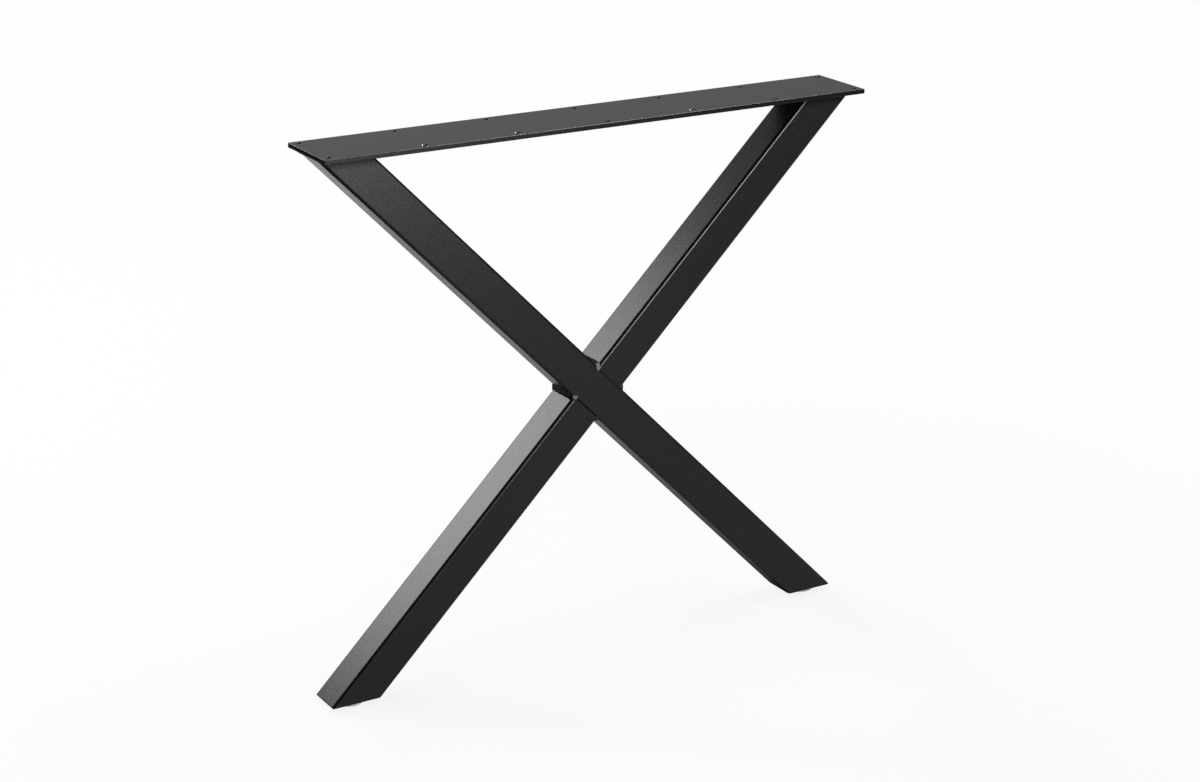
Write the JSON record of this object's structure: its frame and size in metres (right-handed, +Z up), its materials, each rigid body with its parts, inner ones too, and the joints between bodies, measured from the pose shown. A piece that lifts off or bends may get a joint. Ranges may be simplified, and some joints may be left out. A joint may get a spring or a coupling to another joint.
{
  "type": "x shaped table leg",
  "caption": "X shaped table leg of black square steel tube, welded at its crossing under a flat drilled top plate, standing on pale round floor glides.",
  "frame": {"origin": "on the floor, midway between the two feet and midway through the leg's depth", "axes": "+X along the top plate, +Y through the leg's depth, +Z up from the floor"},
  "size_m": [0.78, 0.1, 0.72],
  "materials": {
    "black_powder_coat": "fine-textured satin powder coat on welded mild steel",
    "pale_glide": "moulded, matt off-white polyethylene"
  },
  "bodies": {
    "root": {"top_plate": "black_powder_coat", "through_tube": "black_powder_coat", "upper_cross_tube": "black_powder_coat", "lower_cross_tube": "black_powder_coat", "upper_crossing_weld": "black_powder_coat", "lower_crossing_weld": "black_powder_coat", "left_plate_weld": "black_powder_coat", "right_plate_weld": "black_powder_coat", "left_foot_plate": "black_powder_coat", "right_foot_plate": "black_powder_coat", "left_floor_glide": "pale_glide", "right_floor_glide": "pale_glide"}
  },
  "joints": []
}
